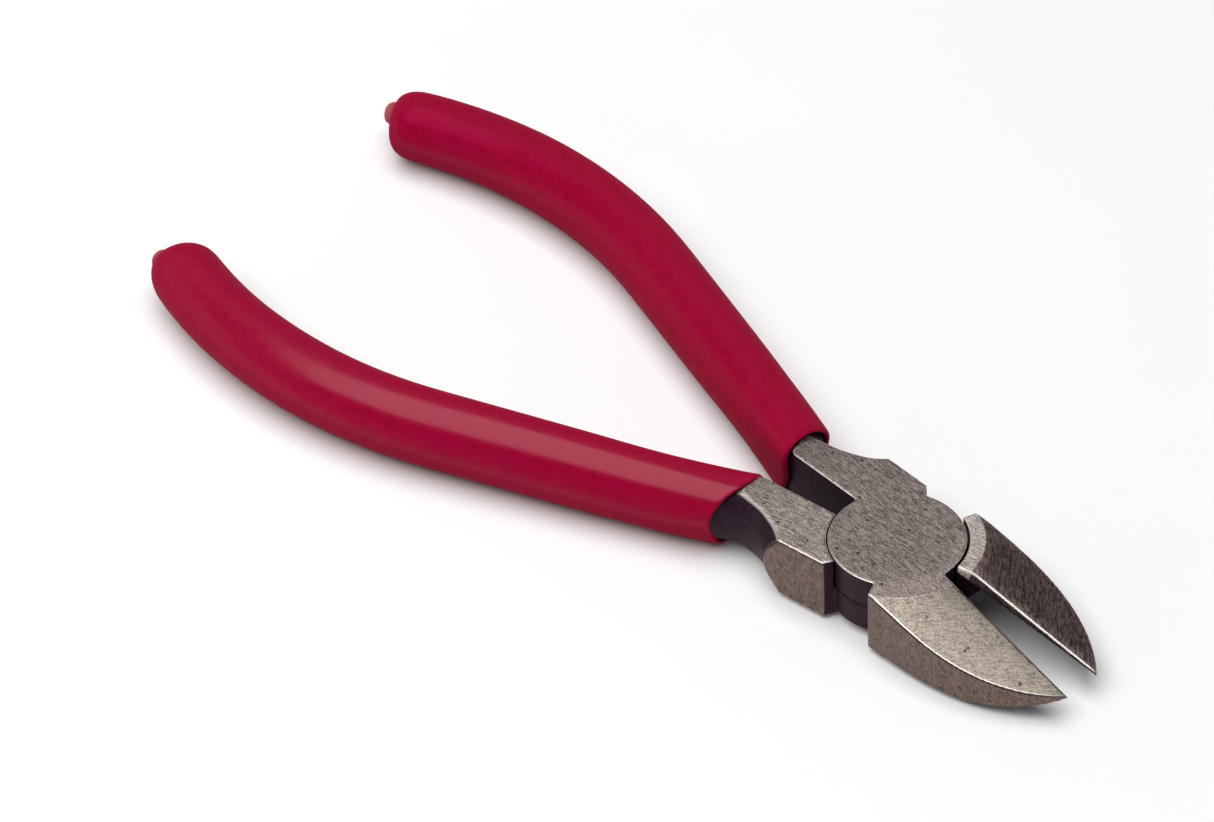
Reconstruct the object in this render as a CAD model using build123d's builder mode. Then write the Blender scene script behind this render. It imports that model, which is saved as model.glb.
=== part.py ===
"""Diagonal cutting pliers with a lap joint, a flush rivet and two dipped vinyl grips.

Frame: the origin is on the pivot axis, in the plane of the hub's flat underside. +X points to the
jaw tips and +Z up out of the ground top face. Each half is drawn as it lies when the jaws are
closed, with the cutting edge on the X axis, and is then turned about the pivot to the stored,
slightly open pose. "Upper" is the half whose joint disc is on top; its handle is on the +Y side.
"""

from build123d import *
import math
import os

# ---- driving dimensions, in millimetres and degrees ----
THICKNESS = 9.7          # both laps of the joint together, and the shoulders and jaws
DISC_RADIUS = 9.5        # round joint face of each half
DISC_CHAMFER = 0.7       # around the lower disc's underside
LAP_GAP = 0.08           # between the two discs' sliding faces
SHOULDER_PLAY = 0.15     # between a disc and the shoulder that it turns in
JAW_PLAY = 0.35          # between a disc and the jaw that it turns in
HALF_OPENING = 4.8       # each half's turn from closed to the stored pose

RIVET_RADIUS = 3.0
RIVET_HEAD_RADIUS = 4.0
RIVET_HEAD_DEPTH = 1.5
RIVET_PLAY = 0.03        # running fit in the upper half

SHANK_INNER = 1.2        # flat inner side of each shank, from the closed centre plane
SHOULDER_SIDE = 10.2     # ground outer side of each shoulder
SHOULDER_REAR = -12.4
SHOULDER_FRONT = (-5.0, 10.2)
SHOULDER_NOTCH = (-3.4, 7.9)

EDGE_GAP = 0.05          # from each cutting edge to the closed centre plane
TIP_X = 33.4
EDGE_DROP = 0.9          # cutting edge below the top face, at EDGE_START_X
EDGE_START_X = 11.0
EDGE_SLOPE = 0.253       # fall of the cutting edge towards the tip
BEVEL_ANGLE = 57.0       # sharpening bevel, from the horizontal
RELIEF_SLOPES = ((8.0, 0.90), (38.0, 0.58))  # underside of the blade: x, fall from the edge outwards
BOSS_RADIUS = 12.0       # top face stays flat inside this radius
ROOF_SLOPE = 0.287       # fall of the jaw's top beyond the boss, straight ahead
ROOF_TWIST = 0.24        # extra fall towards the jaw's outer side
JAW_OUTLINE = ((5.4, 10.55), (12.9, 10.15), (18.8, 9.2), (24.7, 7.1), (29.4, 4.15))
JAW_REAR_INNER = (3.9, 7.35)

# Grip: distance back from the start of the handle, width in the plane of the tool, height.
GRIP_SECTIONS = ((-4.0, 9.2, 10.6), (6.0, 9.9, 11.0), (22.0, 10.5, 11.2))
TANG_WIDTH = 7.6
TANG_HEIGHT = 8.6
TANG_PLAY = 0.05
TANG_START = 3.0         # the even part of the tang starts this far inside the grip
HANDLE_START = (-24.5, 5.46)
HANDLE_ANGLE = 15.0      # straight part of the handle, from the closed centre plane
HANDLE_STRAIGHT = 45.8
HANDLE_RADIUS = 74.0
HANDLE_BEND = 42.4
TANG_BEND = 37.0         # the steel ends before the grip does
GRIP_END_ROUNDING = 4.6
MOUTH_X = -23.3          # front of the grip, on its inner side
MOUTH_SLOPE = 0.2        # the mouth falls back towards the outer side
NUB_RADIUS = 1.4         # drip left at the end of the dipped grip
NUB_OFFSET = (-1.2, 1.9, -1.2)

# Shank sections from the end of the tang to the shoulder: x, centre y, half width, half height.
# The top and bottom faces are ground flat across them, which leaves the rounded end of the flat.
NECK_SECTIONS = (
    (-24.5, 5.2, 3.85, 4.45),
    (-22.9, 4.3, 3.75, 4.87),
    (-21.2, 3.85, 3.85, 5.53),
    (-19.0, 3.45, 4.4, 6.5),
    (-16.5, 3.15, 5.9, 6.8),
    (-14.0, 3.0, 8.1, 6.8),
    (-11.5, 3.0, 11.4, 6.8),
)

# End of the ground flat along each shank: the inner corner, then round to the outer side.
FLAT_END = ((-21.9, 1.2), (-23.0, 1.9), (-23.3, 3.2), (-22.5, 4.8), (-20.8, 5.7))
FLAT_OUTER = 5.8

MIDDLE = THICKNESS / 2
EDGE_DIRECTION = (1, 0, -EDGE_SLOPE)


def edge_height(x):
    """Height of the cutting edge at x."""
    return THICKNESS - EDGE_DROP - EDGE_SLOPE * (x - EDGE_START_X)


RELIEF_END = (14.2, edge_height(14.2))
RELIEF_FOOT = (7.6, 0.0)


def roof_height(radius, angle):
    """Height of the jaw's top at a radius from the pivot and an angle from the X axis."""
    slope = ROOF_SLOPE + ROOF_TWIST * math.sin(math.radians(angle))
    return THICKNESS - slope * (radius - BOSS_RADIUS)


def handle_frame():
    """Where the straight part of a handle ends: the point, its direction and the bend's centre."""
    rear = Vector(-1, 0, 0).rotate(Axis.Z, -HANDLE_ANGLE)
    knee = Vector(*HANDLE_START, MIDDLE) + rear * HANDLE_STRAIGHT
    centre = knee + rear.rotate(Axis.Z, 90) * HANDLE_RADIUS
    return knee, rear, centre


def handle_bar(sections, bend):
    """An oval bar along a handle: straight from the hub, then one arc towards the other handle.

    The sections are distances back along the straight part, widths and heights; the last is kept
    around the bend.
    """
    knee, rear, centre = handle_frame()
    _, width, height = sections[-1]
    section = Plane(knee, x_dir=(0, 0, 1), z_dir=rear)
    with BuildPart() as bar:
        for back, start_width, start_height in sections:
            plane = Plane(knee - rear * (HANDLE_STRAIGHT - back), x_dir=(0, 0, 1), z_dir=rear)
            with BuildSketch(plane):
                Ellipse(start_height / 2, start_width / 2)
        with BuildSketch(section):
            Ellipse(height / 2, width / 2)
        loft(ruled=len(sections) == 1)
        with BuildSketch(section):
            Ellipse(height / 2, width / 2)
        revolve(axis=Axis(centre, (0, 0, 1)), revolution_arc=bend)
    return bar.part


# ---- shank and shoulder, the same on both halves ----
def shoulder():
    knee, rear, _ = handle_frame()
    tang_end = Plane(knee - rear * (HANDLE_STRAIGHT - TANG_START), x_dir=(0, 0, 1), z_dir=rear)
    with BuildPart() as neck:
        with BuildSketch(tang_end):
            Ellipse(TANG_HEIGHT / 2, TANG_WIDTH / 2)
        for x, centre, half_width, half_height in NECK_SECTIONS:
            with BuildSketch(Plane((x, centre, MIDDLE), x_dir=(0, 0, 1), z_dir=(-1, 0, 0))):
                Ellipse(half_height, half_width)
        loft()
        with BuildSketch(Plane.XY) as ground_sides:
            with Locations((SHOULDER_REAR, SHANK_INNER)):
                Rectangle(60, SHOULDER_SIDE - SHANK_INNER, align=(Align.CENTER, Align.MIN))
        extrude(amount=THICKNESS, mode=Mode.INTERSECT)
    tang = handle_bar(((TANG_START, TANG_WIDTH, TANG_HEIGHT),), TANG_BEND)
    with BuildPart() as shank:
        with BuildSketch(Plane.XY):
            with BuildLine():
                Polyline(
                    (SHOULDER_REAR, SHANK_INNER),
                    (SHOULDER_NOTCH[0], SHANK_INNER),
                    SHOULDER_NOTCH,
                    SHOULDER_FRONT,
                    (SHOULDER_REAR, SHOULDER_SIDE),
                    close=True,
                )
            make_face()
        extrude(amount=THICKNESS)
        with BuildSketch(Plane.XY):
            with BuildLine():
                Line((SHOULDER_REAR, SHANK_INNER), FLAT_END[0])
                Spline(*FLAT_END)
                Polyline(
                    FLAT_END[-1],
                    (SHOULDER_REAR, FLAT_OUTER),
                    (SHOULDER_REAR, SHANK_INNER),
                )
            make_face()
        extrude(amount=THICKNESS)
        add(neck.part)
        add(tang)
    return shank.part


# ---- jaw, drawn on the +Y side ----
def roof_cutter():
    """Everything above the jaw's sloping top, fanned out around the pivot."""
    far = 46.0
    with BuildPart() as cutter:
        for angle in range(-12, 73, 14):
            plane = Plane.XZ.rotated((0, 0, angle))
            with BuildSketch(plane):
                with BuildLine():
                    Polyline(
                        (BOSS_RADIUS, THICKNESS),
                        (far, roof_height(far, angle)),
                        (far, THICKNESS + 4),
                        (BOSS_RADIUS, THICKNESS + 4),
                        close=True,
                    )
                make_face()
        loft()
    return cutter.part


def relief_cutter():
    """Hollow under the blade: a wedge from the cutting edge down, ended by a slanted wall."""
    low = -14.0
    side = 16.0
    with BuildPart() as cutter:
        for x, slope in RELIEF_SLOPES:
            with BuildSketch(Plane((x, 0, 0), x_dir=(0, 1, 0), z_dir=(1, 0, 0))):
                with BuildLine():
                    Polyline(
                        (-3, edge_height(x)),
                        (EDGE_GAP, edge_height(x)),
                        (side, edge_height(x) - slope * (side - EDGE_GAP)),
                        (side, low),
                        (-3, low),
                        close=True,
                    )
                make_face()
        loft(ruled=True)
        with BuildSketch(Plane.XZ.offset(-side - 1)):
            with BuildLine():
                Polyline(
                    RELIEF_END,
                    RELIEF_FOOT,
                    (RELIEF_FOOT[0], low),
                    (45, low),
                    (45, THICKNESS),
                    (RELIEF_END[0], THICKNESS),
                    close=True,
                )
            make_face()
        extrude(amount=side + 8, mode=Mode.INTERSECT)
    return cutter.part


def jaw():
    start = 8.0
    rise = 6.0
    reach = rise / math.tan(math.radians(BEVEL_ANGLE))
    with BuildPart() as blade:
        with BuildSketch(Plane.XY):
            with BuildLine():
                Line((6.0, EDGE_GAP), (TIP_X, EDGE_GAP))
                Spline(*JAW_OUTLINE, (TIP_X, EDGE_GAP))
                Polyline(JAW_OUTLINE[0], JAW_REAR_INNER, (6.0, EDGE_GAP))
            make_face()
        extrude(amount=THICKNESS)
        add(roof_cutter(), mode=Mode.SUBTRACT)
        with BuildSketch(Plane((start, 0, 0), x_dir=(0, 1, 0), z_dir=(1, 0, 0))):
            with BuildLine():
                Polyline(
                    (-3, edge_height(start)),
                    (EDGE_GAP, edge_height(start)),
                    (EDGE_GAP + reach, edge_height(start) + rise),
                    (-3, edge_height(start) + rise),
                    close=True,
                )
            make_face()
        extrude(amount=40, dir=EDGE_DIRECTION, mode=Mode.SUBTRACT)
        add(relief_cutter(), mode=Mode.SUBTRACT)
    return blade.part


# ---- the two halves ----
def half(shank, blade, disc_on_top):
    """Joins shank, disc and jaw, and clears the space that the other half's disc turns in."""
    disc_floor = MIDDLE + LAP_GAP / 2 if disc_on_top else 0
    disc_height = MIDDLE - LAP_GAP / 2
    recess_floor = -1 if disc_on_top else MIDDLE - LAP_GAP / 2
    recess_height = MIDDLE + LAP_GAP / 2 + 1
    with BuildPart() as shank_side:
        add(shank)
        with BuildSketch(Plane.XY.offset(recess_floor)):
            Circle(DISC_RADIUS + SHOULDER_PLAY)
        extrude(amount=recess_height, mode=Mode.SUBTRACT)
    with BuildPart() as jaw_side:
        add(blade)
        with BuildSketch(Plane.XY.offset(recess_floor)):
            Circle(DISC_RADIUS + JAW_PLAY)
        extrude(amount=recess_height, mode=Mode.SUBTRACT)
    with BuildPart() as body:
        with BuildSketch(Plane.XY.offset(disc_floor)):
            Circle(DISC_RADIUS)
        extrude(amount=disc_height)
        if not disc_on_top:
            chamfer(body.edges().group_by(Axis.Z)[0], DISC_CHAMFER)
        add(shank_side.part)
        add(jaw_side.part)
        add(rivet(RIVET_PLAY if disc_on_top else 0), mode=Mode.SUBTRACT)
    return body.part


def rivet(play):
    """Flush rivet with a cone at each end, or with play the hole for it."""
    shaft = RIVET_RADIUS + play
    head = RIVET_HEAD_RADIUS + play
    with BuildPart() as pin:
        with BuildSketch(Plane.XZ):
            with BuildLine():
                Polyline(
                    (0, 0),
                    (head, 0),
                    (shaft, RIVET_HEAD_DEPTH),
                    (shaft, THICKNESS - RIVET_HEAD_DEPTH),
                    (head, THICKNESS),
                    (0, THICKNESS),
                    close=True,
                )
            make_face()
        revolve(axis=Axis.Z)
    return pin.part


# ---- dipped grip, drawn on the +Y side ----
def grip(shank):
    knee, rear, centre = handle_frame()
    end = centre + (knee - centre).rotate(Axis.Z, HANDLE_BEND)
    outward = rear.rotate(Axis.Z, HANDLE_BEND)
    bore = (TANG_START, TANG_WIDTH + 2 * TANG_PLAY, TANG_HEIGHT + 2 * TANG_PLAY)
    with BuildPart() as sleeve:
        add(handle_bar(GRIP_SECTIONS, HANDLE_BEND))
        fillet(sleeve.faces().sort_by(Axis.X)[0].edges(), GRIP_END_ROUNDING)
        with BuildSketch(Plane(end + Vector(*NUB_OFFSET) - outward * 3, z_dir=outward)):
            Circle(NUB_RADIUS)
        extrude(amount=3 + NUB_RADIUS)
        fillet(sleeve.faces().sort_by(Axis.X)[0].edges(), 0.8 * NUB_RADIUS)
        with BuildSketch(Plane.XY.offset(-THICKNESS)):
            with BuildLine():
                Polyline(
                    (MOUTH_X, 0),
                    (MOUTH_X - MOUTH_SLOPE * 20, 20),
                    (0, 20),
                    (0, -20),
                    (MOUTH_X + MOUTH_SLOPE * 20, -20),
                    close=True,
                )
            make_face()
        extrude(amount=3 * THICKNESS, mode=Mode.SUBTRACT)
        add(handle_bar((bore,), TANG_BEND + 0.1), mode=Mode.SUBTRACT)
        add(shank, mode=Mode.SUBTRACT)
    return sleeve.part


# ---- assembly ----
shank = shoulder()
blade = jaw()
vinyl = grip(shank)
flipped = Axis((0, 0, MIDDLE), (1, 0, 0))

upper = half(shank, blade.mirror(Plane.XZ), disc_on_top=True)
lower = half(shank.rotate(flipped, 180), blade, disc_on_top=False)

parts = {
    "upper_half": upper.rotate(Axis.Z, -HALF_OPENING),
    "lower_half": lower.rotate(Axis.Z, HALF_OPENING),
    "pivot_rivet": rivet(0),
    "upper_grip": vinyl.rotate(Axis.Z, -HALF_OPENING),
    "lower_grip": vinyl.rotate(flipped, 180).rotate(Axis.Z, HALF_OPENING),
}

os.makedirs("parts", exist_ok=True)
for name, solid in parts.items():
    solid.label = name
    export_step(solid, f"parts/{name}.step")
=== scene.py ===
"""The looks of the diagonal cutting pliers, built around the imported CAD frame.

The two steel halves are the CAD shapes with their edges broken, the grips are dipped vinyl sleeves
built ring by ring, and the rivet is the CAD node itself. Lengths are in millimetres, apart from
those of the floor and the light. The grips and the patterns on the steel are laid out in the frame
of the closed tool, where the upper half has its shank on +Y and its jaw on -Y, and turned to rest.
"""

import math

import bmesh
import bpy
import numpy as np
from mathutils import Matrix, Vector


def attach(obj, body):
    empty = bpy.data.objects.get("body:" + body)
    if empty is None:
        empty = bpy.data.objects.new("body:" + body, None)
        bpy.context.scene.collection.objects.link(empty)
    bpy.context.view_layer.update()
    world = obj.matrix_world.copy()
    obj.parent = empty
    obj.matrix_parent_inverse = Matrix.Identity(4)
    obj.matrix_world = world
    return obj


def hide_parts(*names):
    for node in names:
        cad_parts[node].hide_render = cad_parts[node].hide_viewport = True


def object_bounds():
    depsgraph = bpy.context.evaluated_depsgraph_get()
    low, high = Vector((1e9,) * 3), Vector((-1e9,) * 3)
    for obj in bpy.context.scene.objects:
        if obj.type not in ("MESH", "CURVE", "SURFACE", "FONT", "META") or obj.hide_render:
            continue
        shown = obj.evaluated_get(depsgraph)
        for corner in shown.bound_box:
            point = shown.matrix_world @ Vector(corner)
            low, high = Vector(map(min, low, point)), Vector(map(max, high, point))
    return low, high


MM = 0.001
THICKNESS = 9.7          # head, underside to top face
MIDDLE = THICKNESS / 2
HALF_OPENING = 4.8       # degrees that each half is turned from closed
DISC_RADIUS = 9.5
RIVET_FOOT = (3.03, 1.5)  # foot of the rivet hole's cone: radius, and depth below a face
RIVET_RIM = 4.03         # radius of that cone at the face
RIM_SLACK = 0.01
WELD = 0.001             # points nearer to each other than this are joined
VOXEL = 0.16             # grid on which a steel half's edges are broken
EDGE_SMOOTHING = 4       # rounds of smoothing
STEEL_TRIANGLES = 180000
SHARP_REACH = 0.21       # how far past the hole's rim the shading may break, and at what angle
SHARP_ANGLE = math.radians(30)

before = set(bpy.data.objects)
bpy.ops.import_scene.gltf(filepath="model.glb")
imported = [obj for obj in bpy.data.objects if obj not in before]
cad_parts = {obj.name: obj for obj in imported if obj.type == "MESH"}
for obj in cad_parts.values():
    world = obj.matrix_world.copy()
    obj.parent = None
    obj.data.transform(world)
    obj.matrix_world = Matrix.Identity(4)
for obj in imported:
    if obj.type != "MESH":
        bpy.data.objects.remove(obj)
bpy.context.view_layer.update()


# ---------------------------------------------------------------- meshes
def evaluated(holder):
    """The mesh of an object with its modifiers applied; the object is removed."""
    bpy.context.view_layer.update()
    graph = bpy.context.evaluated_depsgraph_get()
    mesh = bpy.data.meshes.new_from_object(holder.evaluated_get(graph))
    bpy.data.objects.remove(holder)
    return mesh


def placed(mesh, name):
    piece = bpy.data.objects.new(name, mesh)
    bpy.context.collection.objects.link(piece)
    return piece


def smooth_shaded(mesh):
    mesh.polygons.foreach_set("use_smooth", [True] * len(mesh.polygons))
    mesh.update()


def lathe(profile, steps=128):
    """A closed solid of revolution about Z through (radius, height) points, from the bottom up."""
    bm = bmesh.new()
    low = bm.verts.new((0, 0, profile[0][1]))
    high = bm.verts.new((0, 0, profile[-1][1]))
    rings = []
    for radius, height in profile:
        ring = []
        for step in range(steps):
            turn = 2 * math.pi * step / steps
            ring.append(bm.verts.new((radius * math.cos(turn), radius * math.sin(turn), height)))
        rings.append(ring)
    for step in range(steps):
        after = (step + 1) % steps
        bm.faces.new((low, rings[0][after], rings[0][step]))
        bm.faces.new((high, rings[-1][step], rings[-1][after]))
        for below, above in zip(rings, rings[1:]):
            bm.faces.new((below[step], below[after], above[after], above[step]))
    mesh = bpy.data.meshes.new("lathe")
    bm.to_mesh(mesh)
    bm.free()
    return mesh


def rivet_void():
    """The space that the rivet fills, with its cones carried on past both faces of the head."""
    shaft, depth = RIVET_FOOT
    over = 1.0
    flare = RIVET_RIM + (RIVET_RIM - shaft) * over / depth
    return lathe((
        (flare, -over),
        (shaft, depth),
        (shaft, THICKNESS - depth),
        (flare, THICKNESS + over),
    ))


def broken_edges(node):
    """A CAD node's mesh in millimetres with its sharp edges slightly rounded.

    The rivet's hole is closed before the edges are rounded and drilled again after, so that its
    rim stays sharp and close to the rivet.
    """
    bm = bmesh.new()
    bm.from_mesh(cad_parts[node].data)
    bmesh.ops.scale(bm, vec=(1 / MM,) * 3, verts=bm.verts)
    bmesh.ops.remove_doubles(bm, verts=bm.verts, dist=WELD)
    wall = [face for face in bm.faces if all_within(face, RIVET_RIM + RIM_SLACK)]
    bmesh.ops.delete(bm, geom=wall, context="FACES")
    bmesh.ops.holes_fill(bm, edges=[edge for edge in bm.edges if edge.is_boundary], sides=0)
    mesh = bpy.data.meshes.new(node)
    bm.to_mesh(mesh)
    bm.free()

    holder = placed(mesh, "softening")
    remesh = holder.modifiers.new("voxels", "REMESH")
    remesh.mode = "VOXEL"
    remesh.voxel_size = VOXEL
    smooth = holder.modifiers.new("smooth", "SMOOTH")
    smooth.factor = 0.5
    smooth.iterations = EDGE_SMOOTHING
    mesh = evaluated(holder)

    holder = placed(mesh, "drilling")
    drill = placed(rivet_void(), "drill")
    cut = holder.modifiers.new("rivet hole", "BOOLEAN")
    cut.operation = "DIFFERENCE"
    cut.solver = "MANIFOLD"
    cut.object = drill
    fewer = holder.modifiers.new("fewer", "DECIMATE")
    triangles = 2 * len(mesh.polygons)  # the grid's faces are quads
    fewer.ratio = min(1.0, STEEL_TRIANGLES / triangles)
    mesh = evaluated(holder)
    bpy.data.objects.remove(drill)
    return level_shaded(mesh)


def all_within(element, radius):
    """Whether a face or edge is wholly within a radius of the pivot's axis."""
    return all(vert.co.to_2d().length < radius for vert in element.verts)


def level_shaded(mesh):
    """Smooth shading that stays level on the flats, and breaks at the rim of the rivet's hole."""
    bm = bmesh.new()
    bm.from_mesh(mesh)
    for edge in bm.edges:
        near = all_within(edge, RIVET_RIM + SHARP_REACH)
        edge.smooth = not (near and edge.calc_face_angle(0.0) > SHARP_ANGLE)
    bm.to_mesh(mesh)
    bm.free()
    smooth_shaded(mesh)
    holder = placed(mesh, "weighting")
    weighted = holder.modifiers.new("weighted", "WEIGHTED_NORMAL")
    weighted.mode = "FACE_AREA"
    weighted.weight = 50
    weighted.keep_sharp = True
    return evaluated(holder)


def steel_half(node, body, material):
    """One half with its edges broken, which replaces its CAD node."""
    mesh = broken_edges(node)
    mesh.transform(Matrix.Scale(MM, 4))
    mesh.materials.clear()
    mesh.materials.append(material)
    piece = placed(mesh, node + "_forging")
    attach(piece, body)
    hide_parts(node)


# ---------------------------------------------------------------- grips
HANDLE_START = (-24.5, 5.46)
HANDLE_ANGLE = math.radians(15.0)
HANDLE_STRAIGHT = 45.8
HANDLE_RADIUS = 74.0
HANDLE_BEND = math.radians(42.4)
HANDLE_LENGTH = HANDLE_STRAIGHT + HANDLE_RADIUS * HANDLE_BEND
# A grip's distance back along the handle, half width in the plane of the tool, and half height.
GRIP_PROFILE = (
    (-3.0, 4.62, 5.32),
    (6.0, 4.95, 5.5),
    (22.0, 5.25, 5.62),
    (45.0, 5.4, 5.62),
    (70.0, 5.48, 5.5),
    (96.0, 5.25, 5.2),
)
# Where the dipped edge ends, seen from the front with the grip's outer side at 0 degrees and its
# top at 90: the angle around the section, and x.
UPPER_MOUTH = (
    (0, -24.3),
    (20, -23.9),
    (45, -23.45),
    (59, -23.4),
    (94, -23.7),
    (112, -23.65),
    (133, -23.25),
    (160, -22.8),
    (184, -22.9),
    (221, -24.2),
    (290, -24.0),
)
LOWER_MOUTH = (
    (12, -24.8),
    (45, -24.0),
    (82, -23.0),
    (104, -22.75),
    (130, -22.3),
    (180, -22.8),
    (240, -24.0),
    (270, -24.9),
    (310, -24.8),
    (331, -24.4),
    (350, -24.7),
)
MOUTH_CORNERS = 0.26     # share by which the edge swells over the shank's two inner corners
MOUTH_TUCK = 0.12        # share by which the skin draws in on the outer side, below its middle
TUCK_PLACE = -25         # degrees around the section
TUCK_SPREAD = 32
TUCK_REACH = 7.0         # how far back it goes
MOUTH_REACH = 16.0       # how far back the rings still follow the edge
STEEL_SECTION = (3.9, 4.4)      # half width and half height of the tang
NECK_SECTION = (3.78, 4.86)     # the same where it leaves the grip
TANG_END = 93.6
# Rings by their distance back: in the bore, just inside the mouth, and outside it.
BORE_RINGS = (TANG_END, 75.0, 60.0, 45.0, 30.0, 15.0, 6.0)
FLARE_RINGS = (2.6, 0.9)
EDGE_RINGS = (1.2, 2.4, 4.0, 6.0, 9.0, 12.0, 16.0)
EDGE_SHIFT = 1.0         # how much further forward the profile starts where rings follow the edge
SKIN_START = 20.0        # the rest of the rings, evenly spaced up to the dome
SKIN_SPACING = 4.0
# The rolled edge: distance back, and share of the way from the skin in to the neck.
ROLLED_EDGE = ((0.3, 1.0), (0.05, 0.86), (0.0, 0.6), (0.07, 0.3), (0.25, 0.1), (0.55, 0.0))
DOME = 5.4               # length of the rounded end
DOME_POWER = 0.71        # below 1 the end is blunter than a hemisphere
DOME_ANGLES = (0, 10, 22, 34, 46, 57, 67, 75.5)
DRIP_OFFSET = Vector((1.9, -0.3))  # from the middle of the end: outwards, up
DRIP_LEAN = 1.5          # power by which the dome leans over towards the drip
# The drip's rings: radius, rise above the dome, and paleness.
DRIP = ((1.9, 0.1, 0.3), (1.75, 0.5, 0.7), (1.66, 0.95, 1.0), (1.4, 1.4, 1.0), (0.8, 1.7, 1.0))
END_DROP = 0.3           # how far the end sags
DROP_START = 76.0        # and where that starts
AROUND = 48              # points in a ring


def handle_point(back):
    """A point on a handle's line, at a distance back from its start, and the way rearward."""
    rear = Vector((-math.cos(HANDLE_ANGLE), math.sin(HANDLE_ANGLE)))
    start = Vector(HANDLE_START)
    if back <= HANDLE_STRAIGHT:
        return start + rear * back, rear
    knee = start + rear * HANDLE_STRAIGHT
    inward = Vector((-rear.y, rear.x))
    turn = (back - HANDLE_STRAIGHT) / HANDLE_RADIUS
    point = knee + inward * HANDLE_RADIUS * (1 - math.cos(turn))
    point += rear * HANDLE_RADIUS * math.sin(turn)
    return point, rear * math.cos(turn) + inward * math.sin(turn)


def section_point(back, across, up):
    """A point beside the handle's line: across is outwards in the plane of the tool."""
    point, rear = handle_point(back)
    outer = Vector((rear.y, -rear.x))
    flat = point + outer * across
    return Vector((flat.x, flat.y, MIDDLE + up))


def grip_size(back):
    """A grip's half width and half height at a distance back along the handle."""
    backs, widths, heights = zip(*GRIP_PROFILE)
    return float(np.interp(back, backs, widths)), float(np.interp(back, backs, heights))


def mouth_back(turn, mouth, top):
    """How far back the dipped edge ends at an angle around the section; top is -1 upside down."""
    angles, places = zip(*mouth)
    x = float(np.interp(math.degrees(turn) * top, angles, places, period=360))
    across = GRIP_PROFILE[0][1] * math.cos(turn)
    return (HANDLE_START[0] + across * math.sin(HANDLE_ANGLE) - x) / math.cos(HANDLE_ANGLE)


def grip_rings(mouth, top):
    """Rings of points over the whole sleeve, from inside the bore, round the mouth, to the drip.

    Each comes with its paleness. The rings near the mouth follow its edge.
    """
    rings = []
    pale = []
    turns = [2 * math.pi * i / AROUND for i in range(AROUND)]
    edge = np.array([mouth_back(turn, mouth, top) for turn in turns])
    for _ in range(2):
        edge = (np.roll(edge, 1) + 2 * edge + np.roll(edge, -1)) / 4
    from_tuck = (np.degrees(turns) * top - TUCK_PLACE + 180) % 360 - 180
    tucks = MOUTH_TUCK * np.exp(-((from_tuck / TUCK_SPREAD) ** 2))

    def ring(back, width, height, keep_mouth, centre=(0.0, 0.0), paleness=0.0):
        made = []
        tucked = max(0.0, 1 - back / TUCK_REACH) if keep_mouth else 0.0
        dropped = (back - DROP_START) / (HANDLE_LENGTH - DROP_START)
        drop = END_DROP * top * min(1.0, max(0.0, dropped))
        for turn, at_mouth, tuck in zip(turns, edge, tucks):
            inner = max(0.0, -math.cos(turn)) ** 0.5
            swell = 1 + MOUTH_CORNERS * keep_mouth**2 * inner * math.sin(2 * turn) ** 2
            swell -= tuck * tucked
            across = width * math.cos(turn) * swell + centre[0]
            up = height * math.sin(turn) * swell + centre[1] - drop
            made.append(section_point(back + at_mouth * keep_mouth, across, up))
        rings.append(made)
        pale.append(paleness)

    # bore, from the end of the tang to the mouth
    for back in BORE_RINGS:
        ring(back, *STEEL_SECTION, 0.0)
    ring(FLARE_RINGS[0], *STEEL_SECTION, 0.4)
    ring(FLARE_RINGS[1], NECK_SECTION[0], NECK_SECTION[1] - 0.1, 1.0)
    # the rolled edge
    width, height = grip_size(-EDGE_SHIFT)
    for back, inset in ROLLED_EDGE:
        edge_width = width + (NECK_SECTION[0] - width) * inset
        edge_height = height + (NECK_SECTION[1] - height) * inset
        ring(back, edge_width, edge_height, 1.0)
    # the skin
    for back in EDGE_RINGS:
        ring(back, *grip_size(back - EDGE_SHIFT), max(0.0, 1 - back / MOUTH_REACH))
    dome_start = HANDLE_LENGTH - DOME
    for back in np.arange(SKIN_START, dome_start - 1.0, SKIN_SPACING):
        ring(back, *grip_size(back), 0.0)
    # the dome closes on the drip, a little outside the middle
    width, height = grip_size(dome_start)
    for degrees in DOME_ANGLES:
        angle = math.radians(degrees)
        shrink = math.cos(angle) ** DOME_POWER
        reach = math.sin(angle) ** DOME_POWER
        aside = DRIP_OFFSET * min(1.0, 2 * (1 - shrink) ** DRIP_LEAN)
        ring(dome_start + DOME * reach, width * shrink, height * shrink, 0.0, aside)
    for radius, rise, paleness in DRIP:
        ring(dome_start + DOME + rise, radius, radius, 0.0, DRIP_OFFSET, paleness)
    return rings, pale


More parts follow.
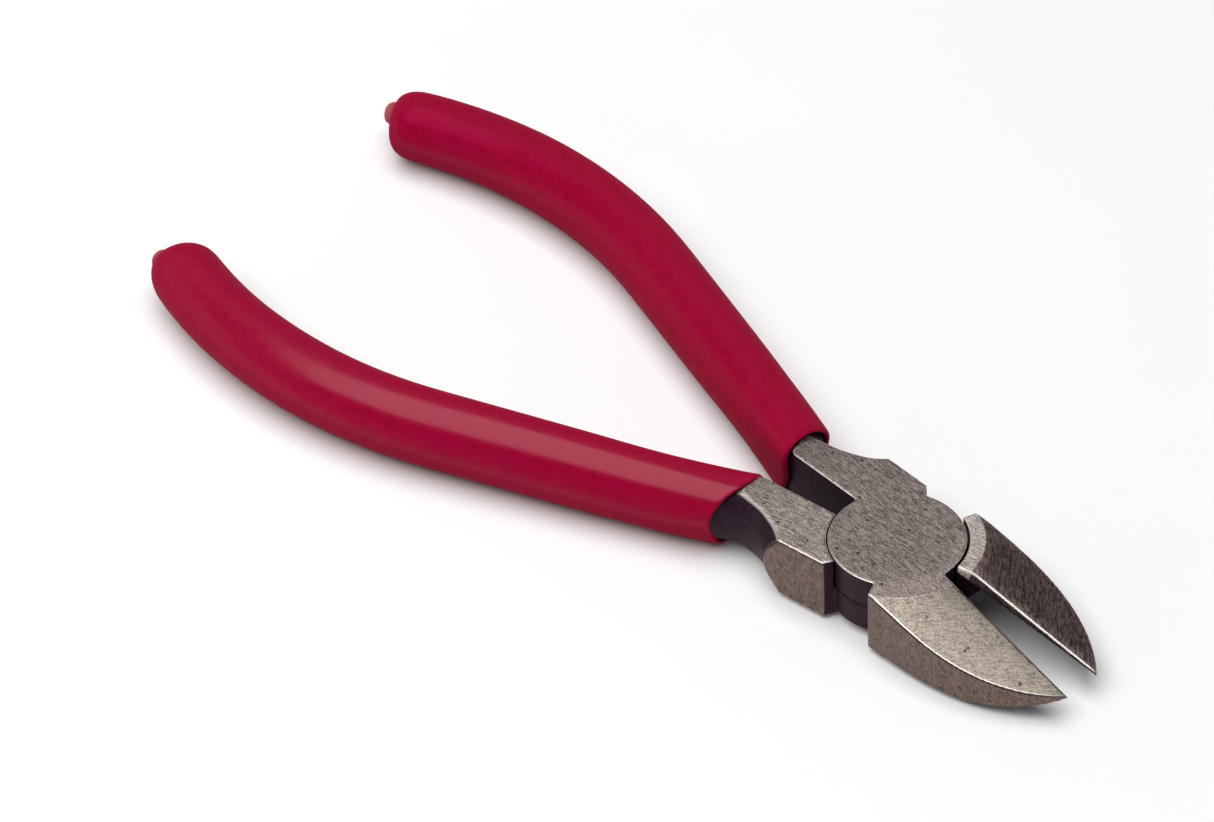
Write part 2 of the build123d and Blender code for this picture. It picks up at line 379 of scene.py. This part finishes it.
def grip_sleeve(name, node, body, mouth, flip, material):
    """One grip as a sleeve that replaces its CAD node; flip turns it over, for the lower half."""
    rings, pale = grip_rings(mouth, -1 if flip else 1)
    bm = bmesh.new()
    share = bm.verts.layers.float.new("drip")
    rows = []
    for ring, paleness in zip(rings, pale):
        row = [bm.verts.new(point) for point in ring]
        for vert in row:
            vert[share] = paleness
        rows.append(row)
    for first, second in zip(rows, rows[1:]):
        for i in range(AROUND):
            j = (i + 1) % AROUND
            bm.faces.new((first[i], first[j], second[j], second[i]))
    for row, paleness in ((rows[0], 0.0), (rows[-1], 1.0)):
        middle = bm.verts.new(sum((vert.co for vert in row), Vector()) / AROUND)
        middle[share] = paleness
        for i in range(AROUND):
            bm.faces.new((row[i], row[(i + 1) % AROUND], middle))
    if flip:
        bmesh.ops.rotate(
            bm, cent=(0, 0, MIDDLE), matrix=Matrix.Rotation(math.pi, 3, "X"), verts=bm.verts
        )
    opening = math.radians(HALF_OPENING if flip else -HALF_OPENING)
    bmesh.ops.rotate(bm, matrix=Matrix.Rotation(opening, 3, "Z"), verts=bm.verts)
    bmesh.ops.scale(bm, vec=(MM,) * 3, verts=bm.verts)
    bmesh.ops.recalc_face_normals(bm, faces=bm.faces)
    mesh = bpy.data.meshes.new(name)
    bm.to_mesh(mesh)
    bm.free()
    holder = placed(mesh, "subdividing")
    levels = holder.modifiers.new("subdivide", "SUBSURF")
    levels.levels = levels.render_levels = 2
    mesh = evaluated(holder)
    mesh.materials.append(material)
    smooth_shaded(mesh)
    piece = placed(mesh, name)
    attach(piece, body)
    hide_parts(node)


# ---------------------------------------------------------------- materials
class Shader:
    """A material, and short ways to add nodes to it.

    Values may be numbers or other nodes' sockets.
    """

    def __init__(self, name):
        self.material = bpy.data.materials.new(name)
        self.material.use_nodes = True
        self.tree = self.material.node_tree
        self.bsdf = self.tree.nodes["Principled BSDF"]
        self.coordinates = self.tree.nodes.new("ShaderNodeTexCoord")
        self.place = self.scaled(self.coordinates.outputs["Object"], (1 / MM,) * 3)

    def put(self, socket, value):
        if isinstance(value, bpy.types.NodeSocket):
            self.tree.links.new(value, socket)
        else:
            socket.default_value = value

    def math(self, operation, a, b=0.0):
        node = self.tree.nodes.new("ShaderNodeMath")
        node.operation = operation
        self.put(node.inputs[0], a)
        self.put(node.inputs[1], b)
        return node.outputs[0]

    def total(self, first, *others):
        for other in others:
            first = self.math("ADD", first, other)
        return first

    def times(self, first, *others):
        for other in others:
            first = self.math("MULTIPLY", first, other)
        return first

    def most(self, first, *others):
        for other in others:
            first = self.math("MAXIMUM", first, other)
        return first

    def rest(self, share):
        """What is left of 1."""
        return self.math("SUBTRACT", 1.0, share)

    def step(self, value, low, high, to_low=0.0, to_high=1.0):
        """A smooth step from to_low at low to to_high at high; low may be above high."""
        node = self.tree.nodes.new("ShaderNodeMapRange")
        node.interpolation_type = "SMOOTHSTEP"
        for socket, number in zip(node.inputs, (value, low, high, to_low, to_high)):
            self.put(socket, number)
        return node.outputs[0]

    def scaled(self, vector, scale):
        node = self.tree.nodes.new("ShaderNodeVectorMath")
        node.operation = "MULTIPLY"
        self.put(node.inputs[0], vector)
        node.inputs[1].default_value = scale
        return node.outputs[0]

    def turned(self, vector, degrees):
        node = self.tree.nodes.new("ShaderNodeVectorRotate")
        node.rotation_type = "Z_AXIS"
        self.put(node.inputs["Vector"], vector)
        node.inputs["Angle"].default_value = math.radians(degrees)
        return node.outputs[0]

    def parts(self, vector):
        node = self.tree.nodes.new("ShaderNodeSeparateXYZ")
        self.put(node.inputs[0], vector)
        return node.outputs

    def stored(self, name):
        """A number that the mesh keeps for each of its points."""
        node = self.tree.nodes.new("ShaderNodeAttribute")
        node.attribute_name = name
        return node.outputs["Fac"]

    def noise(self, vector, scale, detail=2.0, roughness=0.5):
        node = self.tree.nodes.new("ShaderNodeTexNoise")
        self.put(node.inputs["Vector"], vector)
        node.inputs["Scale"].default_value = scale
        node.inputs["Detail"].default_value = detail
        node.inputs["Roughness"].default_value = roughness
        return node.outputs["Fac"]

    def cells(self, vector, scale):
        """Distance to the nearest of a scatter of points, and a random number for each."""
        node = self.tree.nodes.new("ShaderNodeTexVoronoi")
        self.put(node.inputs["Vector"], vector)
        node.inputs["Scale"].default_value = scale
        return node.outputs["Distance"], self.parts(node.outputs["Color"])[0]

    def grey(self, value):
        node = self.tree.nodes.new("ShaderNodeCombineColor")
        for socket in node.inputs:
            self.put(socket, value)
        return node.outputs[0]

    def mix(self, share, a, b, how="MIX"):
        """One colour at share 0 and the other at 1."""
        node = self.tree.nodes.new("ShaderNodeMix")
        node.data_type = "RGBA"
        node.blend_type = how
        self.put(node.inputs[0], share)
        self.put(node.inputs[6], a)
        self.put(node.inputs[7], b)
        return node.outputs[2]

    def shaded(self, colour, value):
        """A colour made lighter or darker by a factor."""
        return self.mix(1.0, colour, self.grey(value), "MULTIPLY")

    def blend(self, share, a, b):
        """One number at share 0 and the other at 1."""
        node = self.tree.nodes.new("ShaderNodeMix")
        self.put(node.inputs[0], share)
        self.put(node.inputs[2], a)
        self.put(node.inputs[3], b)
        return node.outputs[0]

    def bump(self, height, strength, distance):
        node = self.tree.nodes.new("ShaderNodeBump")
        node.inputs["Strength"].default_value = strength
        node.inputs["Distance"].default_value = distance
        self.put(node.inputs["Height"], height)
        self.put(self.bsdf.inputs["Normal"], node.outputs[0])


# The faces of a half, in the frame of the closed tool: where each begins, and where it is in full.
TOP_Z = (THICKNESS - 0.5, THICKNESS - 0.1)
UNDERSIDE_Z = (0.5, 0.1)
RAISED_Z = (3.0, 4.0)           # bevels and the painted edge highlights lie above this
JAW_X = (3.2, 3.6)
STRIP_X = (4.0, 5.5)            # the pale flat strip between the disc and the jaw's bevel
SHOULDER_X = (0.0, -1.0)
SHOULDER_Y = (9.9, 10.05)
SHANK_END_X = (-14.0, -23.0)    # where the flats grow darker towards the grips
CUTTING_Y = (-2.6, -0.4)        # the bevel's last stretch before the cutting edge
SLOPE_RADIUS = (9.75, 9.95)     # distances from the pivot's axis
FLANK_RADIUS = (10.0, 10.2)
BEVEL_RADIUS = (11.9, 12.1)
STRIP_RADIUS = (7.5, 9.7)

# Stretched patterns: how fine each is along X, Y and Z, and how far it is turned, in degrees.
FLAT_GRAIN = (0.8, 5.2, 1.0)
BEVEL_GRAIN = (0.7, 5.0, 1.0)
BEVEL_GRAIN_TURN = -54
SIDE_GRAIN = (5.0, 3.0, 0.8)
DASH_GRAIN = (0.9, 3.0, 1.0)
DASH_TURN = 5
SCRATCH_GRAIN = (0.09, 2.2, 1.0)
SCRATCH_TURN = 6
FLAT_CONTRAST = 1.05
SIDE_CONTRAST = 0.85

# painted shade: the upright ground faces get a darker tone than the flats
SIDE_SHADE_TONE = (0.165, 0.118, 0.100, 1)
# painted shade on the cutting lip, which faces the other jaw
LIP_SHADE_TONE = (0.07, 0.05, 0.05, 1)
PIT_TONE = (0.03, 0.022, 0.022, 1)
SCRATCH_TONE = (0.6, 0.56, 0.53, 1)
# painted highlight on the broken edges
EDGE_HIGHLIGHT_TONE = (0.80, 0.76, 0.73, 1)
# painted shade for the thin line just below those edges
BELOW_EDGE_SHADE_TONE = (0.03, 0.02, 0.02, 1)
OXIDE_DARK = (0.010, 0.002, 0.007, 1)
OXIDE_PALE = (0.020, 0.007, 0.015, 1)
OXIDE_SPECK = (0.075, 0.052, 0.066, 1)
OXIDE_GLOSS = (1.0, 0.7, 0.88, 1)
WHITE = (1, 1, 1, 1)


class Steel(Shader):
    """Ground steel on a half's worked faces, black oxide elsewhere.

    side is +1 for the upper half and -1 for the lower one, whose frame is mirrored here so that
    its shank is on +Y too.
    """

    def __init__(self, name, side):
        super().__init__(name)
        self.side = side
        mirror = (1, side, 1)
        facing = self.turned(self.coordinates.outputs["Normal"], HALF_OPENING * side)
        self.place = self.scaled(self.turned(self.place, HALF_OPENING * side), mirror)
        self.x, self.y, self.z = self.parts(self.place)
        _, self.outward, self.up = self.parts(self.scaled(facing, mirror))
        self.find_faces()
        self.lay_grain()

    def find_faces(self):
        """A share between 0 and 1 for each kind of face."""
        squares = self.total(self.times(self.x, self.x), self.times(self.y, self.y))
        radius = self.math("SQRT", squares)
        levelness = self.math("ABSOLUTE", self.up)
        jaw = self.step(self.x, *JAW_X)
        self.raised = self.step(self.z, *RAISED_Z)
        flat = self.times(self.step(self.z, *TOP_Z), self.step(self.up, 0.3, 0.7))
        underside = self.times(self.step(self.z, *UNDERSIDE_Z), self.step(self.up, -0.3, -0.7))
        slope = self.times(
            jaw,
            self.step(self.up, 0.6, 0.75),
            self.raised,
            self.step(radius, *SLOPE_RADIUS),
        )
        self.lip = self.times(jaw, self.step(self.outward, 0.5, 0.7), self.step(self.up, 0.25, 0.4))
        self.flank = self.times(
            jaw,
            self.step(radius, *FLANK_RADIUS),
            self.step(levelness, 0.75, 0.6),
            self.step(self.outward, 0.1, -0.15),
        )
        shoulder = self.times(
            self.step(self.y, *SHOULDER_Y),
            self.step(self.outward, 0.5, 0.75),
            self.step(self.x, *SHOULDER_X),
        )
        self.ground = self.most(flat, underside, slope, self.lip, self.flank, shoulder)
        self.bevel = self.times(jaw, self.step(radius, *BEVEL_RADIUS))
        self.side_face = self.most(shoulder, self.flank)
        self.strip = self.times(flat, self.step(self.x, *STRIP_X), self.step(radius, *STRIP_RADIUS))

    def lay_grain(self):
        """Long lines on the flats, short strokes across the bevels, upright ones on the sides."""
        place = self.place
        on_flats = self.noise(self.scaled(place, FLAT_GRAIN), 1.0, 3.0, 0.6)
        bevel_place = self.scaled(self.turned(place, BEVEL_GRAIN_TURN), BEVEL_GRAIN)
        on_bevels = self.noise(bevel_place, 1.0, 2.0, 0.5)
        on_sides = self.noise(self.scaled(place, SIDE_GRAIN), 1.0, 3.0, 0.6)
        self.grain = self.blend(self.bevel, on_flats, on_bevels)
        self.grain = self.blend(self.side_face, self.grain, on_sides)
        self.mottle = self.noise(place, 0.8, 4.0, 0.65)
        self.speckle = self.noise(place, 3.6, 3.0, 0.7)

        distance, random = self.cells(place, 0.75)
        self.pits = self.times(
            self.step(distance, 0.30, 0.05),
            self.step(random, 0.78, 0.82),
            self.step(random, 0.75, 1.0, 0.12, 0.28),
            4.0,
        )
        scratch_place = self.scaled(self.turned(place, SCRATCH_TURN), SCRATCH_GRAIN)
        distance, random = self.cells(scratch_place, 0.9)
        self.scratches = self.times(self.step(distance, 0.08, 0.03), self.step(random, 0.72, 0.76))

    def shade(self, bevel_contrast):
        """How light each point of the ground faces is, around 1."""
        dash_place = self.scaled(self.turned(self.place, DASH_TURN), DASH_GRAIN)
        dashes = self.step(self.noise(dash_place, 0.9, 2.0), 0.60, 0.74)
        contrast = self.blend(self.bevel, FLAT_CONTRAST, bevel_contrast)
        contrast = self.blend(self.side_face, contrast, SIDE_CONTRAST)
        value = self.total(
            self.step(self.grain, 0.25, 0.75, -0.55, 0.55),
            self.step(self.mottle, 0.3, 0.7, -0.2, 0.2),
            self.step(self.speckle, 0.28, 0.72, -0.65, 0.65),
        )
        return self.times(
            self.step(self.times(value, contrast), -1.1, 1.1, 0.42, 1.6),
            self.rest(self.times(dashes, 0.3)),
            self.step(self.x, *SHANK_END_X, 1.0, 0.80),
        )

    def with_edges(self, colour):
        """The colour with painted highlights on the broken edges, and a painted shade line just
        below them.
        """
        up = self.up
        # painted highlights on the rounded edges; the bevel's is drawn only on edges that face -Y
        towards_minus_y = self.step(self.times(self.outward, -self.side), -0.1, 0.1)
        top_edge_highlight = self.times(
            self.raised,
            self.step(up, 0.90, 0.84),
            self.step(up, 0.42, 0.52),
            self.step(self.z, 9.2, 9.4),
        )
        bevel_edge_highlight = self.times(
            self.raised,
            self.bevel,
            self.step(up, 0.90, 0.86),
            self.step(up, 0.55, 0.62),
            towards_minus_y,
        )
        # painted shade: a dark line just below the rounded edges
        below_edge_shade = self.times(
            self.raised,
            self.step(up, 0.02, 0.07),
            self.step(up, 0.55, 0.45),
            self.rest(self.lip),
        )
        colour = self.mix(self.times(self.most(top_edge_highlight, bevel_edge_highlight), 0.85), colour, EDGE_HIGHLIGHT_TONE)
        return self.mix(self.times(below_edge_shade, 0.8), colour, BELOW_EDGE_SHADE_TONE)

    def finish(self, bright, strip_roughness):
        """Join the ground steel and the oxide, and give both their gloss and relief."""
        oxide = self.mix(self.step(self.mottle, 0.35, 0.7), OXIDE_DARK, OXIDE_PALE)
        specks = self.times(self.step(self.speckle, 0.55, 0.78), 0.7)
        oxide = self.mix(specks, oxide, OXIDE_SPECK)
        rough = self.step(self.grain, 0.25, 0.75, 0.36, 0.50)
        rough = self.blend(self.strip, rough, strip_roughness)
        rough_oxide = self.step(self.speckle, 0.3, 0.7, 0.42, 0.6)
        relief = self.total(self.times(self.grain, 0.7), self.times(self.speckle, 0.5))
        relief = self.math("SUBTRACT", relief, self.times(self.pits, 1.5))
        forged = self.total(self.times(self.mottle, 1.6), self.times(self.speckle, 0.4))

        sockets = self.bsdf.inputs
        self.put(sockets["Base Color"], self.mix(self.ground, oxide, bright))
        self.put(sockets["Metallic"], self.blend(self.ground, 0.2, 1.0))
        self.put(sockets["Roughness"], self.blend(self.ground, rough_oxide, rough))
        sockets["Specular IOR Level"].default_value = 0.25
        self.put(sockets["Specular Tint"], self.mix(self.ground, OXIDE_GLOSS, WHITE))
        self.bump(self.blend(self.ground, forged, relief), 0.5, 0.03 * MM)
        return self.material


def steel(
    name,
    side,
    flat_tone,
    strip_tone,
    strip_roughness,
    bevel_tone,
    cutting_tone,
    bevel_contrast,
):
    """A half's steel. The tones are colours of its ground faces, and they carry painted light.

    They are those of the flats, of the flat strip around the joint, of the jaw's bevel, and of the
    bevel along its cutting edge. The two halves are one steel: their tones differ as painted light
    and painted shade, set for how each half is lit.
    """
    s = Steel(name, side)
    # painted light: the stretch along the cutting edge is lighter than the bevel on the lower half
    bevel_colour = s.mix(s.step(s.y, *CUTTING_Y), bevel_tone, cutting_tone)
    # painted shade on the cutting lip
    bevel_colour = s.mix(s.lip, bevel_colour, LIP_SHADE_TONE)
    # painted shade on the upright faces, the shoulder and the jaw's flank
    colour = s.mix(s.side_face, flat_tone, SIDE_SHADE_TONE)
    colour = s.mix(s.strip, colour, strip_tone)
    colour = s.mix(s.bevel, colour, s.mix(s.flank, bevel_colour, SIDE_SHADE_TONE))
    colour = s.shaded(colour, s.shade(bevel_contrast))
    colour = s.mix(s.math("MINIMUM", s.pits, 0.9), colour, PIT_TONE)
    colour = s.mix(s.times(s.scratches, 0.35), colour, SCRATCH_TONE)
    return s.finish(s.with_edges(colour), strip_roughness)


VINYL_DARK = (0.280, 0.002, 0.025, 1)
VINYL_LIGHT = (0.315, 0.003, 0.030, 1)
VINYL_PATCH = (0.29, 0.002, 0.034, 1)
DRIP_TONE = (0.42, 0.12, 0.13, 1)
DULL_GLOSS = (0.6, 0.02, 0.12, 1)
GRAZING_ROUGHNESS = 0.85


def vinyl(name, gloss, gloss_tint):
    """Glossy dip-coated vinyl, with painted shade underneath, and paler in the drip at its end.

    The gloss has its own tint on the top of a grip, and dulls on its sides and at grazing angles.
    """
    s = Shader(name)
    slow = s.noise(s.place, 0.12, 1.0, 0.4)
    cloud = s.noise(s.place, 0.7, 3.0, 0.6)
    fine = s.noise(s.place, 3.5, 2.0, 0.5)
    up = s.parts(s.coordinates.outputs["Normal"])[2]
    edge_on = s.tree.nodes.new("ShaderNodeLayerWeight").outputs["Facing"]

    colour = s.mix(s.step(cloud, 0.3, 0.7), VINYL_DARK, VINYL_LIGHT)
    colour = s.mix(s.times(s.step(slow, 0.4, 0.7), 0.5), colour, VINYL_PATCH)
    # painted shade: darker where the surface faces down
    colour = s.shaded(colour, s.step(up, -0.6, 0.4, 0.78, 1.0))
    colour = s.mix(s.times(s.stored("drip"), 0.75), colour, DRIP_TONE)
    rough = s.step(cloud, 0.3, 0.7, 0.19, 0.24)
    rough = s.blend(s.step(edge_on, 0.2, 0.5), rough, GRAZING_ROUGHNESS)
    dulled = s.most(s.step(edge_on, 0.16, 0.42), s.step(up, 0.72, 0.60))

    sockets = s.bsdf.inputs
    s.put(sockets["Base Color"], colour)
    s.put(sockets["Roughness"], rough)
    sockets["Specular IOR Level"].default_value = gloss
    s.put(sockets["Specular Tint"], s.mix(dulled, gloss_tint, DULL_GLOSS))
    sockets["Subsurface Weight"].default_value = 0.05
    sockets["Subsurface Radius"].default_value = (1.0, 0.15, 0.2)
    sockets["Subsurface Scale"].default_value = 0.8 * MM
    s.bump(s.total(s.times(slow, 4.0), s.times(cloud, 0.06), s.times(fine, 0.01)), 0.3, 0.1 * MM)
    return s.material


def floor_paint():
    s = Shader("floor_paint")
    grain = s.noise(s.place, 0.05, 4.0, 0.5)
    s.put(s.bsdf.inputs["Base Color"], s.mix(grain, (0.95, 0.95, 0.95, 1), (0.97, 0.97, 0.97, 1)))
    s.bsdf.inputs["Roughness"].default_value = 0.7
    s.bsdf.inputs["Specular IOR Level"].default_value = 0.2
    return s.material


# The halves are one steel; their tones differ as painted light and shade, set for each half.
upper_steel = steel(
    "ground_steel_upper",
    1,
    flat_tone=(0.365, 0.302, 0.276, 1),
    strip_tone=(0.46, 0.38, 0.35, 1),
    strip_roughness=0.45,
    bevel_tone=(0.222, 0.190, 0.161, 1),
    cutting_tone=(0.193, 0.165, 0.140, 1),
    bevel_contrast=0.85,
)
# painted light: lighter flats, darker bevel and a lighter cutting stretch than the upper half
lower_steel = steel(
    "ground_steel_lower",
    -1,
    flat_tone=(0.47, 0.40, 0.365, 1),
    strip_tone=(0.52, 0.46, 0.42, 1),
    strip_roughness=0.62,
    bevel_tone=(0.177, 0.126, 0.120, 1),
    cutting_tone=(0.32, 0.25, 0.22, 1),
    bevel_contrast=1.35,
)
upper_red = vinyl("red_vinyl_upper", 0.2, (1.0, 0.04, 0.3, 1))
lower_red = vinyl("red_vinyl_lower", 0.35, (1.0, 0.6, 0.66, 1))

steel_half("upper_half", "upper", upper_steel)
steel_half("lower_half", "lower", lower_steel)
grip_sleeve("upper_grip_sleeve", "upper_grip", "upper", UPPER_MOUTH, False, upper_red)
grip_sleeve("lower_grip_sleeve", "lower_grip", "lower", LOWER_MOUTH, True, lower_red)

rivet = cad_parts["pivot_rivet"]
rivet.data.materials.clear()
rivet.data.materials.append(upper_steel)


# ---------------------------------------------------------------- floor, light and camera
FLOOR_HALF_SIDE = 3.0    # metres
LIGHT_PLACE = (-0.16, -0.25, 0.8)
LIGHT_SIZE = (0.88, 1.1)
LIGHT_POWER = 9.6        # watts
# The glow of the studio's walls, and the height in the sky up to which it is as strong as that.
WALL_GLOW = (0.8, 0.12)
CEILING_GLOW = (0.08, 0.5)  # the same for the ceiling, and the height from which it holds
GLOW_TONE = (1.0, 0.99, 0.98, 1)

# The camera's place follows from the round joint disc and the tool's own symmetry.
AZIMUTH = math.radians(45.79)
ELEVATION = math.radians(41.42)
ROLL = math.radians(-2.5)
# From the middle of the hub's top, in disc radii.
ASIDE = 4.137
BELOW = -1.808
DISTANCE = 88.35
PICTURE_WIDTH = 1214
FOCAL_LENGTH = 6200      # for a picture of that width
SENSOR = 36.0


def lay_floor():
    """A plain floor just under the tool."""
    low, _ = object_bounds()
    bm = bmesh.new()
    bmesh.ops.create_grid(bm, x_segments=1, y_segments=1, size=FLOOR_HALF_SIDE)
    mesh = bpy.data.meshes.new("floor")
    bm.to_mesh(mesh)
    bm.free()
    mesh.materials.append(floor_paint())
    floor = placed(mesh, "floor")
    floor.location.z = low.z


def hang_light():
    """A large softbox overhead, pointing straight down."""
    light = bpy.data.lights.new("overhead", "AREA")
    light.shape = "RECTANGLE"
    light.size, light.size_y = LIGHT_SIZE
    light.energy = LIGHT_POWER
    holder = bpy.data.objects.new("overhead", light)
    bpy.context.collection.objects.link(holder)
    holder.location = LIGHT_PLACE
    holder.rotation_mode = "QUATERNION"
    holder.rotation_quaternion = Vector((0, 0, -1)).to_track_quat("-Z", "Y")


def paint_studio():
    """Pale walls all round and a dark ceiling."""
    world = bpy.data.worlds.new("studio")
    world.use_nodes = True
    tree = world.node_tree
    direction = tree.nodes.new("ShaderNodeTexCoord")
    height = tree.nodes.new("ShaderNodeSeparateXYZ")
    fade = tree.nodes.new("ShaderNodeMapRange")
    fade.interpolation_type = "SMOOTHSTEP"
    wall, wall_top = WALL_GLOW
    ceiling, ceiling_start = CEILING_GLOW
    for socket, number in zip(fade.inputs[1:], (wall_top, ceiling_start, wall, ceiling)):
        socket.default_value = number
    background = tree.nodes["Background"]
    tree.links.new(direction.outputs["Generated"], height.inputs[0])
    tree.links.new(height.outputs["Z"], fade.inputs[0])
    tree.links.new(fade.outputs[0], background.inputs["Strength"])
    background.inputs["Color"].default_value = GLOW_TONE
    bpy.context.scene.world = world
    bpy.context.scene.view_settings.view_transform = "Standard"


def set_camera():
    """The photograph's viewpoint."""
    level = Vector((math.cos(AZIMUTH), math.sin(AZIMUTH), 0))
    ahead = Vector((-math.sin(AZIMUTH), math.cos(AZIMUTH), 0))
    lift = ahead * math.sin(ELEVATION) + Vector((0, 0, math.cos(ELEVATION)))
    back = -ahead * math.cos(ELEVATION) + Vector((0, 0, math.sin(ELEVATION)))
    right = level * math.cos(ROLL) + lift * math.sin(ROLL)
    top = lift * math.cos(ROLL) - level * math.sin(ROLL)
    camera = bpy.data.objects.new("camera", bpy.data.cameras.new("camera"))
    bpy.context.collection.objects.link(camera)
    camera.matrix_world = Matrix((right, top, back)).transposed().to_4x4()
    camera.location = (back * DISTANCE - right * ASIDE - top * BELOW) * DISC_RADIUS * MM
    camera.location.z += THICKNESS * MM
    camera.data.sensor_width = SENSOR
    camera.data.lens = FOCAL_LENGTH / PICTURE_WIDTH * SENSOR
    camera.data.clip_start = 0.01
    camera.data.clip_end = 10
    bpy.context.scene.camera = camera


lay_floor()
hang_light()
paint_studio()
set_camera()
